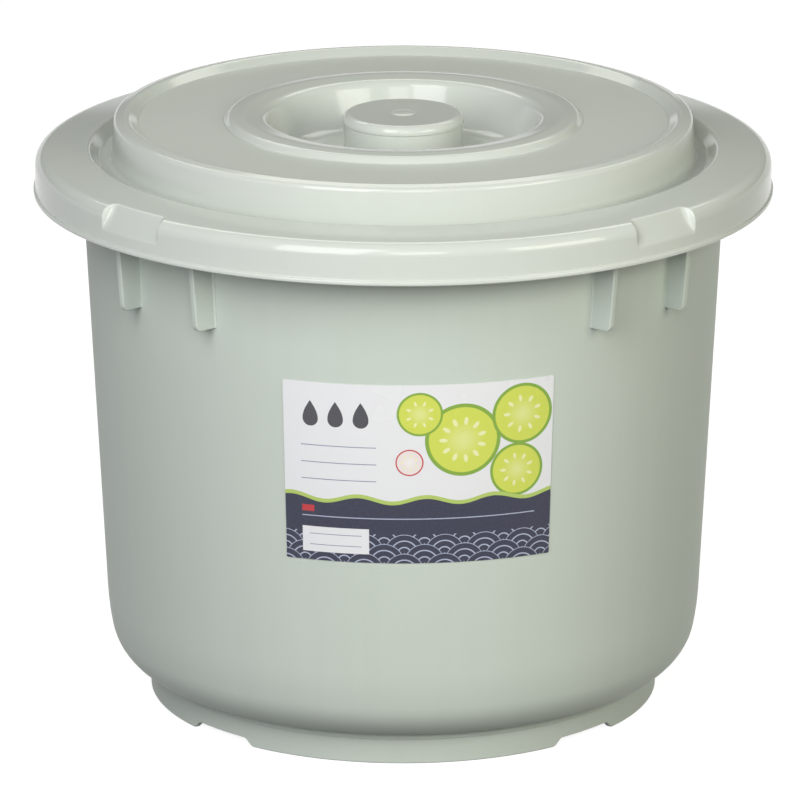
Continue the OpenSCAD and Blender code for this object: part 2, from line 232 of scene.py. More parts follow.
# %% Numbers and vectors in a geometry tree
def named(tree, name):
    """A number stored on the points under a name."""
    node = place(tree, "GeometryNodeInputNamedAttribute", {"Name": name}, data_type="FLOAT")
    return Field(tree, node.outputs["Attribute"])


def vector(tree, x, y, z):
    """A vector from three numbers."""
    return place(tree, "ShaderNodeCombineXYZ", {"X": x, "Y": y, "Z": z})


def turned_vector(tree, radius, turn, z):
    """A vector from a radius, a turn about the upright axis and a height."""
    return vector(tree, radius * turn.math("COSINE"), radius * turn.math("SINE"), z)


# %% [markdown]
# ## Turning a section
# On a lathe the section stays and the piece turns. Here a ring of turns stands for the lathe's steps,
# and Curve to Mesh sweeps the section round it. The ring's steps are small only where the moulding has
# detail, such as at the ends of a thumb scoop, so the mesh stays light elsewhere.

# %% The lathe tree
def lathe_tree():
    """Sweeps the object's section round a ring and puts every point at its own radius, height and turn."""
    tree, given = geometry_tree("Lathe", "Weld", Ring="Object")
    ring = place(tree, "GeometryNodeObjectInfo", {"Object": given["Ring"]})
    ring_curve = place(tree, "GeometryNodeMeshToCurve", {"Mesh": ring.outputs["Geometry"]})
    section = place(tree, "GeometryNodeMeshToCurve", {"Mesh": given["Geometry"]})
    swept = place(tree, "GeometryNodeCurveToMesh", {"Curve": ring_curve, "Profile Curve": section})
    radius = named(tree, "section_radius")
    turn = named(tree, "turn")
    height = named(tree, "section_height")
    spot = turned_vector(tree, radius, turn, height)
    turned = place(tree, "GeometryNodeSetPosition", {"Geometry": swept, "Position": spot})
    closed = place(tree, "GeometryNodeMergeByDistance", {"Geometry": turned, "Distance": given["Weld"]})
    return ended(tree, closed, given)


LATHE = lathe_tree()
print("lathe tree", len(LATHE.nodes), "nodes")


# %% Lines, rings and turned pieces
WELD = 0.01


def linked(name, data):
    """An object for a mesh, a lamp or a camera, in the scene."""
    obj = bpy.data.objects.new(name, data)
    bpy.context.scene.collection.objects.link(obj)
    return obj


def wire(name, points, closed, **marks):
    """A mesh of a line through points, with numbers stored on them."""
    mesh = bpy.data.meshes.new(name)
    links = [(i, i + 1) for i in range(len(points) - 1)]
    mesh.from_pydata(points, links + ([(len(points) - 1, 0)] if closed else []), [])
    for mark, values in marks.items():
        mesh.attributes.new(mark, "FLOAT", "POINT").data.foreach_set("value", np.array(values, np.float32))
    return linked(name, mesh)


def ring_of_turns(spans):
    """A ring whose steps follow spans (end, step) in degrees, counted from a diagonal in all octants."""
    eighth = [0.0]
    for end, step in spans:
        count = max(1, round((end - eighth[-1]) / step))
        eighth += list(np.linspace(eighth[-1], end, count + 1)[1:])
    turns = {round((45 + 90 * k + sign * a) % 360, 5) for k in range(4) for sign in (-1, 1) for a in eighth}
    turns = np.radians(sorted(turns))
    points = [(math.cos(t), math.sin(t), 0) for t in turns]
    return wire("ring", points, True, turn=turns)


def turned_piece(name, outline, ring, finish, **marks):
    """An object that turns a section, given as complex points in millimetres, round a ring."""
    points = [(p.real * MM, 0, p.imag * MM) for p in outline]
    radius = [max(p.real, 0) * MM for p in outline]
    height = [p.imag * MM for p in outline]
    piece = wire(name, points, False, section_radius=radius, section_height=height, **marks)
    worked(piece, LATHE, Ring=ring, Weld=WELD * MM, Finish=finish)
    return piece


# %% [markdown]
# ## The finish of a piece
# When the trees have done their work, the result becomes a plain mesh and the modifiers and helpers go.
# Its faces are turned outwards, edges that bend sharply are marked, and every point is given a number
# that says how strongly it lies on an outer edge, because a moulding's edges are more polished; their
# paler tint is a painted highlight.

# %% From a worked object to a plain mesh
SHARP = math.radians(38)
EDGE_RADIUS = 1.6 * MM
print("edges that bend by more than", round(math.degrees(SHARP)), "degrees stay sharp")


def edge_strength(mesh):
    """The points' numbers, 1 on narrow outer edges and 0 on flats; the count of open edges; the volume."""
    shape = bmesh.new()
    shape.from_mesh(mesh)
    strength = np.zeros(len(shape.verts), np.float32)
    for edge in shape.edges:
        if len(edge.link_faces) == 2:
            one, other = edge.link_faces
            width = (one.calc_center_median() - other.calc_center_median()).length
            bend = max(edge.calc_face_angle_signed(0), 0) / max(width, 1e-6)
            for corner in edge.verts:
                strength[corner.index] = max(strength[corner.index], min(1, bend * EDGE_RADIUS))
    open_edges = sum(not edge.is_manifold for edge in shape.edges)
    volume = shape.calc_volume(signed=True)
    shape.free()
    return strength, open_edges, volume


def finished(obj, *helpers):
    """Makes the worked object a plain mesh with outward faces, and marks and measures its edges."""
    graph = bpy.context.evaluated_depsgraph_get()
    mesh = bpy.data.meshes.new_from_object(obj.evaluated_get(graph), depsgraph=graph)
    obj.modifiers.clear()
    obj.data = mesh
    for helper in helpers:
        bpy.data.objects.remove(helper)
    strength, open_edges, volume = edge_strength(mesh)
    if volume < 0:
        mesh.flip_normals()
        strength, open_edges, volume = edge_strength(mesh)
    mesh.set_sharp_from_angle(angle=SHARP)
    mesh.attributes.new("edge", "FLOAT", "POINT").data.foreach_set("value", strength)
    mesh.calc_loop_triangles()
    triangles = len(mesh.loop_triangles)
    print(obj.name, triangles, "triangles", open_edges, "open edges", round(volume / MM**3), "mm3")


def stands_for(obj, body, slot, *nodes):
    """Hides the CAD nodes that a piece stands for, and lets the piece ride on their body."""
    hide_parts(*nodes)
    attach(obj, body)


# %% [markdown]
# ## Moulded plastic
# The real plastic is pale sage grey polypropylene: satin on the tub, glossier on the lid. It looks even
# at first, but the gloss shows faint upright streaks where the melt flowed, a fine orange peel, and
# glossier edges, which are also tinted paler as a painted highlight. One shader group makes these masks
# from the object's own coordinates for all three mouldings.

# %% The moulded skin group
def moulded_skin():
    """A group that gives a tone, a gloss mask, a height and an edge mask, from streaks, clouds and peel."""
    tree = bpy.data.node_groups.new("Moulded skin", "ShaderNodeTree")
    for label in ("Streak", "Peel"):
        tree.interface.new_socket(label, in_out="INPUT", socket_type="NodeSocketFloat")
    for label in ("Tone", "Gloss", "Height", "Edge"):
        tree.interface.new_socket(label, in_out="OUTPUT", socket_type="NodeSocketFloat")
    entry = tree.nodes.new("NodeGroupInput")
    result = tree.nodes.new("NodeGroupOutput")
    coords = tree.nodes.new("ShaderNodeTexCoord").outputs["Object"]

    def cloud(scale, detail, upright=1.0):
        scales = (scale, scale, scale * upright)
        mapped = place(tree, "ShaderNodeMapping", {"Vector": coords, "Scale": scales})
        noise = place(tree, "ShaderNodeTexNoise", {"Vector": mapped, "Scale": 1.0, "Detail": detail})
        return Field(tree, noise)

    streaks = (cloud(140.0, 3.0, 0.03) - 0.5) * entry.outputs["Streak"]
    clouds = cloud(14.0, 2.0) - 0.5
    specks = cloud(900.0, 2.0) - 0.5
    edge = place(tree, "ShaderNodeAttribute", attribute_name="edge")
    masks = {
        "Tone": streaks + clouds * 0.6 + specks * 0.25 + 0.5,
        "Gloss": clouds * 0.5 + streaks + specks * 0.4 + 0.5,
        "Height": cloud(200.0, 1.0) * entry.outputs["Peel"] + specks * 0.02,
        "Edge": Field(tree, edge.outputs["Fac"]).eased(),
    }
    feed(tree, result, masks)
    return tree


MOULDED_SKIN = moulded_skin()
print("moulded skin", len(MOULDED_SKIN.nodes), "nodes")


# %% Helpers for materials
def mixed(tree, share, one, other):
    """A colour between two, by a share."""
    one = (*one, 1) if isinstance(one, tuple) else one
    other = (*other, 1) if isinstance(other, tuple) else other
    node = place(tree, "ShaderNodeMix", {"Factor": share, 6: one, 7: other}, data_type="RGBA")
    return node.outputs[2]


def new_material(name):
    """A material with nodes. Gives it, its tree and its main shader."""
    material = bpy.data.materials.new(name)
    material.use_nodes = True
    return material, material.node_tree, material.node_tree.nodes["Principled BSDF"]


# %% The three plastics
TONE_SPREAD = 0.045
GLOSS_SPREAD = 0.12
EDGE_GLOSS = 0.06
# The paler tint on narrow edges is a painted highlight; the edges' lower roughness is real gloss.
EDGE_HIGHLIGHT_PALER = 0.2
PAINTED_HIGHLIGHT_SHARE = 0.35
MATT_ROUGHER = 0.25


def plastic(name, colour, roughness, specular, streak, peel):
    """A moulded plastic of a colour, with its tone, gloss and surface from the moulded skin."""
    material, tree, surface = new_material(name)
    skin = place(tree, "ShaderNodeGroup", {"Streak": streak, "Peel": peel}, node_tree=MOULDED_SKIN)
    edge = Field(tree, skin.outputs["Edge"])
    darker = tuple((1 - TONE_SPREAD) * c for c in colour)
    lighter = tuple((1 + TONE_SPREAD) * c for c in colour)
    # Painted highlight: narrow outer edges get a paler colour.
    painted_edge_highlight = tuple(c + EDGE_HIGHLIGHT_PALER * (1 - c) for c in colour)
    body = mixed(tree, skin.outputs["Tone"], darker, lighter)
    matt = Field(tree, place(tree, "ShaderNodeAttribute", attribute_name="matt").outputs["Fac"])
    gloss = (Field(tree, skin.outputs["Gloss"]) - 0.5) * GLOSS_SPREAD
    relief = {"Height": skin.outputs["Height"], "Distance": 0.05 * MM, "Strength": 0.3}
    looks = {
        # The base colour mixes in the painted edge highlight.
        "Base Color": mixed(tree, edge * PAINTED_HIGHLIGHT_SHARE, body, painted_edge_highlight),
        "Roughness": gloss + roughness - edge * EDGE_GLOSS + matt * MATT_ROUGHER,
        "Normal": place(tree, "ShaderNodeBump", relief),
        "IOR": 1.49,
        "Specular IOR Level": specular,
    }
    feed(tree, surface, looks)
    return material


TUB_FINISH = plastic(
    "satin_sage", (0.565, 0.618, 0.56), roughness=0.45, specular=0.1, streak=0.5, peel=0.5
)
LID_FINISH = plastic(
    "semigloss_sage", (0.585, 0.62, 0.57), roughness=0.12, specular=0.4, streak=0.25, peel=0.25
)
PRESS_FINISH = plastic(
    "pressed_sage", (0.6, 0.655, 0.595), roughness=0.4, specular=0.3, streak=0.3, peel=0.5
)
print("plastics", TUB_FINISH.name, LID_FINISH.name, PRESS_FINISH.name)

# %% [markdown]
# ## The tub
# The tub is one moulding with an even wall. Its wall tapers towards a belly, rounds in to the heel and
# stands on a foot ring with a small ledge above it. The rim is turned down like the edge of a bucket.
# The skin below is the outside, from the lip's inner face to the heel; the inside is the same path shifted
# by the wall's thickness.

# %% The tub's lengths
rim_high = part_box("rim")[1]
RIM_R = rim_high.x / MM
RIM_Z = rim_high.z / MM
TUB_WALL = 2.2
TOP_R = RIM_R - 12.4
BELLY_R = TOP_R - 9.1
BELLY_Z = 35.5
HEEL_R = BELLY_R - 4.6
HEEL_ROUND = 20
FOOT_R = HEEL_R - 12.5
FOOT_H = 12
FOOT_WALL = 2.6
LEDGE_R = FOOT_R + 0.5
LEDGE_Z = FOOT_H - 1.6
LIP_Z = RIM_Z - 10
UNDER_RIM_Z = RIM_Z - TUB_WALL
TAPER = (TOP_R - BELLY_R) / (UNDER_RIM_Z - BELLY_Z)
heel_lean = math.atan2(BELLY_R - HEEL_R, BELLY_Z - FOOT_H)
heel_centre = HEEL_R - HEEL_ROUND * math.tan((math.pi / 2 - heel_lean) / 2)
heel_meets_ledge = FOOT_H + HEEL_ROUND - math.sqrt(HEEL_ROUND**2 - (LEDGE_R - heel_centre) ** 2)
print("wall leans out by", round(math.degrees(math.atan(TAPER)), 2), "degrees")

# %% The tub's section
tub_skin = [
    (RIM_R - TUB_WALL, LIP_Z, 0),
    (RIM_R - TUB_WALL, UNDER_RIM_Z, 2.8),
    (TOP_R, UNDER_RIM_Z, 1.3),
    (BELLY_R, BELLY_Z, 100),
    (HEEL_R, FOOT_H, HEEL_ROUND),
    (0, FOOT_H, 0),
]
tub_inside = shifted(tub_skin, TUB_WALL)[::-1]
lip_edge = [(RIM_R, LIP_Z, 0.9), (RIM_R - TUB_WALL, LIP_Z, 0.9)]
foot_ring = [
    (LEDGE_R, heel_meets_ledge, 0),
    (LEDGE_R, LEDGE_Z, 0.3),
    (FOOT_R, LEDGE_Z, 0.2),
    (FOOT_R, 0, 0.6),
    (FOOT_R - FOOT_WALL, 0, 0.6),
    (FOOT_R - FOOT_WALL, FOOT_H, 0.8),
    (0, FOOT_H, 0),
]
upper = rounded([*tub_inside[:-1], *lip_edge, *tub_skin[1:]])
half_way = len(upper) / 2
above_ledge = [p for i, p in enumerate(upper) if i < half_way or p.real > LEDGE_R]
tub_outline = above_ledge + rounded(foot_ring)


def wall_r(z):
    """Radius of the tub's outside at a height, in millimetres."""
    return BELLY_R + TAPER * (z - BELLY_Z)


print("tub section", len(tub_outline), "points, mouth", round(TOP_R - TUB_WALL, 1), "mm in radius")

# %% [markdown]
# ## Notches in the foot
# Four notches in the foot ring let water and air out from under the tub. A cutter would do, but it leaves
# raw edges. Here the ring's own points are raised between the notch's ends, and those above are pressed
# together, so the faces stay even. The tree works out each point's distance from the nearest diagonal.
# A ramp up to the notch's height makes the leaning ends, and softening it at both limits rounds them.

# %% The foot notch tree
NOTCH_W = 33
notch_sizes = {
    "Foot radius": FOOT_R * MM,
    "Width": NOTCH_W * MM,
    "Height": 3.2 * MM,
    "Lean": 3 * MM,
    "Soft": 0.7 * MM,
    "Ledge": LEDGE_Z * MM,
}


def from_diagonal(tree, radius):
    """How far a point's turn is from the nearest diagonal, as a length on a circle of that radius."""
    quarter = math.pi / 2
    away = (named(tree, "turn").math("FLOORED_MODULO", quarter) - quarter / 2).math("ABSOLUTE")
    return away * radius


def softened(number, soft):
    """The number where it is over nothing, and nothing below, with a soft change between the two."""
    return (number + (number * number + soft * soft).math("SQRT")) * 0.5


def foot_notch_tree():
    """Raises the foot ring's points between the ends of each notch."""
    tree, given = geometry_tree("Foot notches", *notch_sizes)
    inwards = given["Width"] / 2.0 - from_diagonal(tree, given["Foot radius"])
    height = given["Height"]
    soft = given["Soft"]
    ramp = softened(inwards * height / given["Lean"], soft)
    arch = softened(height, soft) - softened(height - ramp, soft)
    below = 1.0 - (named(tree, "section_height") / given["Ledge"]).clipped()
    rise = arch * below * named(tree, "foot")
    lift = vector(tree, 0.0, 0.0, rise)
    raised = place(tree, "GeometryNodeSetPosition", {"Geometry": given["Geometry"], "Offset": lift})
    return ended(tree, raised, given)


# %% The tub, turned and notched
notch_end = math.degrees(NOTCH_W / 2 / FOOT_R)
# The steps are small only where a notch ends.
tub_ring = ring_of_turns([(notch_end - 2.6, 1.6), (notch_end + 1, 0.2), (45, 1.85)])
on_foot = [float(p.real < LEDGE_R + 0.01 and p.imag < FOOT_H - 0.01) for p in tub_outline]
tub = turned_piece("tub_shell", tub_outline, tub_ring, TUB_FINISH, foot=on_foot)
worked(tub, foot_notch_tree(), **notch_sizes, Finish=TUB_FINISH)
print("foot notch ends", round(notch_end, 2), "degrees from a diagonal")

# %% [markdown]
# ## Ribs under the rim
# Pairs of ribs under the rim keep stacked tubs from wedging and stiffen the edge. A moulded rib is never a
# plain plate: it thins outwards so that it leaves the mould, its free edges are rounded and its root is
# filleted. So it is lofted from slices, level by level, and each slice is drawn in near the lower end.

# %% A rib's level slice
RIB_Z = UNDER_RIM_Z - 42
RIB_OFFSET = 21
RIB_REACH = 9.5
RIB_LEAN = math.tan(math.radians(5))
RIB_ROOT = 1.5
RIB_EDGE = 1.3
RIB_ROUND = 0.5
RIB_CORNER = 2.5
RIB_SUNK = 1.1
FILLET = 0.7


def drop(distance, radius):
    """How far a rounding of that radius has fallen back at a distance from its end."""
    left = max(0, radius - distance)
    return radius - math.sqrt(radius**2 - left**2)


def rib_slice(z):
    """Half of a rib's level slice, from its root in the wall out to the middle of its outer edge."""
    wall = math.sqrt(wall_r(z) ** 2 - RIB_OFFSET**2)
    foot_x = math.sqrt(wall_r(RIB_Z) ** 2 - RIB_OFFSET**2) + RIB_REACH
    drawn_in = drop(z - RIB_Z, RIB_ROUND)
    tip = foot_x + (z - RIB_Z) * RIB_LEAN - drop(z - RIB_Z, RIB_CORNER)
    root = RIB_ROOT - drawn_in
    edge = RIB_EDGE - drawn_in
    arc = RIB_ROUND - 0.5 * drawn_in
    points = [(wall - RIB_SUNK, root + FILLET)]
    for turn in np.radians([0, 30, 60, 90]):
        points.append((wall + FILLET * (1 - math.cos(turn)), root + FILLET * (1 - math.sin(turn))))
    for turn in np.radians([0, 22.5, 45, 67.5, 90]):
        points.append((tip - arc * (1 - math.sin(turn)), edge - arc * (1 - math.cos(turn))))
    return points


print("a slice has", 2 * len(rib_slice(RIB_Z)), "points")


# %% A pair of ribs from slices
def band(shape, low, high):
    """Faces all round between two loops of as many points."""
    for i in range(len(low)):
        k = (i + 1) % len(low)
        shape.faces.new((low[i], low[k], high[k], high[i]))


def mesh_from(name, shape):
    """A mesh of a shape that is done."""
    mesh = bpy.data.meshes.new(name)
    shape.to_mesh(mesh)
    shape.free()
    return mesh


def lofted(name, loops):
    """A closed mesh through loops of as many points each, in millimetres, with both ends capped."""
    shape = bmesh.new()
    rows = [[shape.verts.new(Vector(point) * MM) for point in loop] for loop in loops]
    for low, high in zip(rows, rows[1:]):
        band(shape, low, high)
    shape.faces.new(reversed(rows[0]))
    shape.faces.new(rows[-1])
    bmesh.ops.recalc_face_normals(shape, faces=shape.faces)
    return mesh_from(name, shape)


def rib_loop(z, offset):
    """A whole level slice of a rib that stands to one side of the X axis."""
    half = rib_slice(z)
    return [(x, offset + y, z) for x, y in half] + [(x, offset - y, z) for x, y in reversed(half)]


def paired(mesh, width):
    """The mesh with a second copy beside it, a width further along Y."""
    shape = bmesh.new()
    shape.from_mesh(mesh)
    copy = bmesh.ops.duplicate(shape, geom=shape.verts[:] + shape.edges[:] + shape.faces[:])["geom"]
    moved = [part for part in copy if isinstance(part, bmesh.types.BMVert)]
    bmesh.ops.translate(shape, verts=moved, vec=(0, width * MM, 0))
    shape.to_mesh(mesh)
    shape.free()
    return mesh


rib_levels = RIB_Z + np.array([0, 0.06, 0.2, 0.42, 0.7, 1.1, 1.7, 2.5, 4, 10, 20, 30, 38, 43.1])
one_rib = lofted("rib_pair", [rib_loop(z, -RIB_OFFSET) for z in rib_levels])
rib_pair = linked("rib_pair", paired(one_rib, 2 * RIB_OFFSET))
print("rib pair", len(rib_pair.data.polygons), "faces")

# %% [markdown]
# The pair is modelled once, on the X axis. The tree below sets copies of such an item evenly round the
# axis, makes them real and joins them with the piece into one skin, so no rib ends inside the wall. The
# same tree with the opposite sign cuts an item out, which the press lid's holes need later.

# %% Trees that join or cut items around the axis
def around_tree(name, operation):
    """A tree that joins or cuts copies of an item, set evenly around the upright axis from a first turn."""
    tree, given = geometry_tree(name, "Count", "First", Item="Object")
    index = Field(tree, tree.nodes.new("GeometryNodeInputIndex"))
    angle = index * (2 * math.pi) / given["Count"] + given["First"]
    points = place(tree, "GeometryNodePoints", {"Count": given["Count"]})
    item = place(tree, "GeometryNodeObjectInfo", {"Object": given["Item"]})
    spin = vector(tree, 0.0, 0.0, angle)
    copies = place(
        tree,
        "GeometryNodeInstanceOnPoints",
        {"Points": points, "Instance": item.outputs["Geometry"], "Rotation": spin},
    )
    real = place(tree, "GeometryNodeRealizeInstances", {"Geometry": copies})
    solid = place(tree, "GeometryNodeMeshBoolean", operation=operation, solver="MANIFOLD")
    plug(tree, given["Geometry"], solid.inputs["Mesh 1" if operation == "DIFFERENCE" else "Mesh 2"])
    plug(tree, real, solid.inputs["Mesh 2"])
    return ended(tree, solid, given)


JOIN_AROUND = around_tree("Join around", "UNION")
CUT_AROUND = around_tree("Cut around", "DIFFERENCE")
print("tree that joins", len(JOIN_AROUND.nodes), "nodes")

# %% The tub with its ribs
worked(tub, JOIN_AROUND, Item=rib_pair, Count=4.0, First=math.radians(45), Finish=TUB_FINISH)
finished(tub, tub_ring, rib_pair)
tub_nodes = [node for node in frame["record"]["behaviour"]["bodies"]["tub"] if node != "label"]
stands_for(tub, "tub", "tub_plastic", *tub_nodes)

# %% [markdown]
# ## The lid
# The lid is one thin moulding of even thickness. From the middle outwards come a knob with a round
# shoulder and a pip on its top, a sunk well for the fingers, a crowned collar, a flat where the next tub
# stands, a crowned rim that keeps it there, a groove, a flange that falls a little outwards, and the skirt
# with a bead along its lower edge. The inside is again the shifted path; the shoulder, the pip and the
# bead are on the outside alone. The flat is less polished, which a mark on its points tells the plastic.

# %% The lid's lengths
LID_WALL = 2.1
SKIRT_R = 149.2
FLANGE_Z = 228.4
SKIRT_LOW = 211.3
FLAT_Z = 239.4
STACK_Z = 242
GROOVE_Z = 224
CROWN_Z = 242.55
FLAT_IN = 72.5
FLAT_OUT = 107.5
BEAD_R = 150
BEAD_Z = 213.2
KNOB_R = 24.2
KNOB_TOP = 241.5
DISH_Z = 242
SHOULDER_R = 24.7
SHOULDER_Z = 238.4
PIP_R = 4.8
PIP_H = 0.56


def flange_z(r):
    """Height of the flange, which falls a little outwards, at a radius."""
    return FLANGE_Z - (r - 138) * math.tan(math.radians(7))


print("flange and skirt meet at a height of", round(flange_z(SKIRT_R), 1), "mm")

# %% The lid's section
# Close rows of points where the scoops bend the skin
flange_rows = [(r, flange_z(r), 0) for r in 141.4 + 0.28 * np.arange(10)]
skirt_rows = [(SKIRT_R, 220 - 0.3 * k, 0) for k in range(10)]
well_to_skirt = [
    (KNOB_R, GROOVE_Z, 2.5),
    (48.5, GROOVE_Z, 10),
    (55.6, STACK_Z - 0.6, 4),
    (64.5, CROWN_Z, 12),
    (70.4, STACK_Z, 2.6),
    (FLAT_IN, FLAT_Z, 0.8),
    (FLAT_OUT, FLAT_Z, 0.8),
    (111.8, CROWN_Z, 3),
    (117.1, CROWN_Z - 1.2, 1.8),
    (118.3, GROOVE_Z, 1.8),
    (123.1, GROOVE_Z, 1.8),
    (127.5, flange_z(127.5), 2.1),
    *flange_rows,
    (SKIRT_R, flange_z(SKIRT_R), 5),
    *skirt_rows,
]
pip_turns = [k * math.pi / 14 for k in range(7)]
pip = [(PIP_R * math.sin(turn), DISH_Z + PIP_H * math.cos(turn), 0) for turn in pip_turns]
lid_top = [
    *pip,
    (PIP_R, DISH_Z, 0),
    (SHOULDER_R, DISH_Z + 0.3, 2.9),
    (SHOULDER_R, SHOULDER_Z, 0.25),
    (KNOB_R, SHOULDER_Z, 0.2),
    *well_to_skirt,
    (SKIRT_R, BEAD_Z, 0.4),
    (BEAD_R, BEAD_Z, 0.6),
    (BEAD_R, SKIRT_LOW, 0.6),
    (SKIRT_R - LID_WALL, SKIRT_LOW, 0),
]
lid_middle = [
    (0, KNOB_TOP, 0),
    (KNOB_R, KNOB_TOP, 2.1),
    *well_to_skirt,
    (SKIRT_R, SKIRT_LOW, 0),
]
lid_under = rounded(shifted(lid_middle, LID_WALL), 2.5 * SHORTFALL)[::-1]
lid_over = rounded(lid_top)
lid_outline = lid_over + lid_under[1:]
print("lid section", len(lid_outline), "points")

# %% [markdown]
# ## Thumb scoops
# Four scoops in the lid's outer corner give the thumbs a hold. Each is a sloping flat that cuts the corner,
# and the inside bulges in by the same amount so the wall keeps its thickness. The tree measures how far
# every point stands past the flat and pushes it back between the scoop's two ends. There the flat curves up
# like the end of a bowl. The lid lies loose on the tub, so at last it is turned a little on its seat.

# %% The scoop tree
SCOOP_SLOPE = math.radians(32.4)
SCOOP_FLOOR = 8.0
RIM_CENTRE = (RIM_R - 5, RIM_Z - 5)
scoop_out = (SCOOP_FLOOR - (FLANGE_Z - RIM_CENTRE[1]) * math.sin(SCOOP_SLOPE)) / math.cos(SCOOP_SLOPE)
scoop_top = (FLANGE_Z - RIM_CENTRE[1]) * math.cos(SCOOP_SLOPE) - scoop_out * math.sin(SCOOP_SLOPE)
scoop_sizes = {
    "Rim radius": RIM_CENTRE[0] * MM,
    "Rim height": RIM_CENTRE[1] * MM,
    "Slope": SCOOP_SLOPE,
    "Floor": SCOOP_FLOOR * MM,
    "Half width": 16 * MM,
    "Top": scoop_top * MM,
    "Corner": 4 * MM,
    "Bowl": 3.5 * MM,
    "Soft": 0.4 * MM,
    "Skirt radius": SKIRT_R * MM,
}


def scoop_tree():
    """Pushes the lid's points back behind a sloping flat, between the two ends of each scoop."""
    tree, given = geometry_tree("Thumb scoops", *scoop_sizes)
    out = named(tree, "section_radius") - given["Rim radius"]
    up = named(tree, "section_height") - given["Rim height"]
    lean_out = given["Slope"].math("COSINE")
    lean_up = given["Slope"].math("SINE")
    reach = named(tree, "reach")
    soft = given["Soft"]
    past = out * lean_out + up * lean_up - reach
    push = softened(past, soft)
    along = up * lean_out - out * lean_up
    corner = given["Corner"]
    over = ((along - given["Top"] + corner) / corner).clipped()
    half = given["Half width"] + given["Floor"] - reach - corner + corner * (1.0 - over * over).math("SQRT")
    inwards = half - from_diagonal(tree, given["Skirt radius"])
    end = soft * 2.5
    hollow = 1.0 - ((inwards + end * 0.5) / given["Bowl"]).clipped()
    share = (inwards / end + 0.5).eased() * (1.0 - hollow * hollow).math("SQRT")
    back = push * share * -1.0
    offset = turned_vector(tree, back * lean_out, named(tree, "turn"), back * lean_up)
    pushed = place(tree, "GeometryNodeSetPosition", {"Geometry": given["Geometry"], "Offset": offset})
    return ended(tree, pushed, given)


print("a scoop's flat ends", round(scoop_top, 1), "mm up its slope")

# %% The lid, turned and scooped
# The steps are small only at the ends of the scoops.
lid_ring = ring_of_turns([(4.6, 1.55), (5.9, 0.26), (6.5, 0.1), (7.1, 0.3), (45, 1.8)])
reach = [SCOOP_FLOOR * MM] * len(lid_over) + [(SCOOP_FLOOR - LID_WALL) * MM] * (len(lid_under) - 1)
matt_ring = [float(FLAT_IN + 0.5 < p.real < FLAT_OUT - 0.5 and p.imag > FLAT_Z - 0.1) for p in lid_outline]
lid = turned_piece("lid_shell", lid_outline, lid_ring, LID_FINISH, reach=reach, matt=matt_ring)
worked(lid, scoop_tree(), **scoop_sizes, Finish=LID_FINISH)
finished(lid, lid_ring)
LID_TURN = math.radians(-1.2)
lid.data.transform(Matrix.Rotation(LID_TURN, 4, "Z"))
stands_for(lid, "lid", "lid_plastic", *frame["record"]["behaviour"]["bodies"]["lid"])

# %% [markdown]
# ## The press lid
# Inside lies the plate that keeps the food under the brine, with a stone or a bag of water on top. It has
# an upturned edge, a ring below that it stands on, a hub ring and stiffening ribs on top, drain holes and
# two slots for the fingers with a grip between them. It is turned like the others, then joined and cut.

# %% The press lid's section
PRESS_TOP = 20.77
PRESS_WALL = 2.4
PRESS_UNDER = PRESS_TOP - PRESS_WALL
PRESS_EDGE_Z = 34.37
STIFF_Z = PRESS_TOP + 7
HUB_R = 50
STAND_R = 82
STAND_Z = 14.5
press_wall_path = [(0, PRESS_TOP, 0), (103.9, PRESS_TOP, 6), (106.9, PRESS_EDGE_Z, 0)]
_, outer_corner, outer_edge = shifted(press_wall_path, PRESS_WALL)
press_outline = rounded(
    [
        (0, PRESS_TOP, 0),
        (HUB_R - PRESS_WALL, PRESS_TOP, 0.4),
        (HUB_R - PRESS_WALL, STIFF_Z, 0.6),
        (HUB_R, STIFF_Z, 0.6),
        (HUB_R, PRESS_TOP, 0.4),
        press_wall_path[1],
        (*press_wall_path[2][:2], 1.1),
        (*outer_edge[:2], 1.1),
        outer_corner,
        (STAND_R, PRESS_UNDER, 0.4),
        (STAND_R, STAND_Z, 0.5),
        (STAND_R - PRESS_WALL, STAND_Z, 0.5),
        (STAND_R - PRESS_WALL, PRESS_UNDER, 0.4),
        (0, PRESS_UNDER, 0),
    ]
)
print("press lid section", len(press_outline), "points")

# %% Its stiffeners, drain holes and finger slots
STIFF_ROUND = 0.7
HOLE_ROUND = 0.6
wall_middle = rounded(shifted(press_wall_path, PRESS_WALL / 2))[2:]


def stiffener_loop(z):
    """A level slice of a stiffener, from inside the hub ring to the middle of the upturned edge."""
    end = np.interp(z, [p.imag for p in wall_middle], [p.real for p in wall_middle])
    half = PRESS_WALL / 2 - drop(STIFF_Z - z, STIFF_ROUND)
    start = HUB_R - PRESS_WALL / 2
    return [(start, -half, z), (end, -half, z), (end, half, z), (start, half, z)]


def hole_loops(x, half_width, run):
    """Loops of a cutter for a hole with round ends along Y, which widens to round the plate's edges."""
    turns = np.radians([0, 30, 60, 90])
    flare = [(HOLE_ROUND * (1 - math.sin(t)), HOLE_ROUND * (1 - math.cos(t))) for t in turns]
    upper = [(out, PRESS_TOP - deep) for out, deep in flare]
    lower = [(out, PRESS_UNDER + deep) for out, deep in reversed(flare)]
    levels = [(HOLE_ROUND, PRESS_TOP + 1), *upper, *lower, (HOLE_ROUND, PRESS_UNDER - 1)]
    ends = [(t, run / 2 if math.sin(t) > 0 else -run / 2) for t in np.radians(np.arange(4, 364, 8))]
    return [
        [(x + (half_width + out) * math.cos(t), y + (half_width + out) * math.sin(t), z) for t, y in ends]
        for out, z in levels
    ]


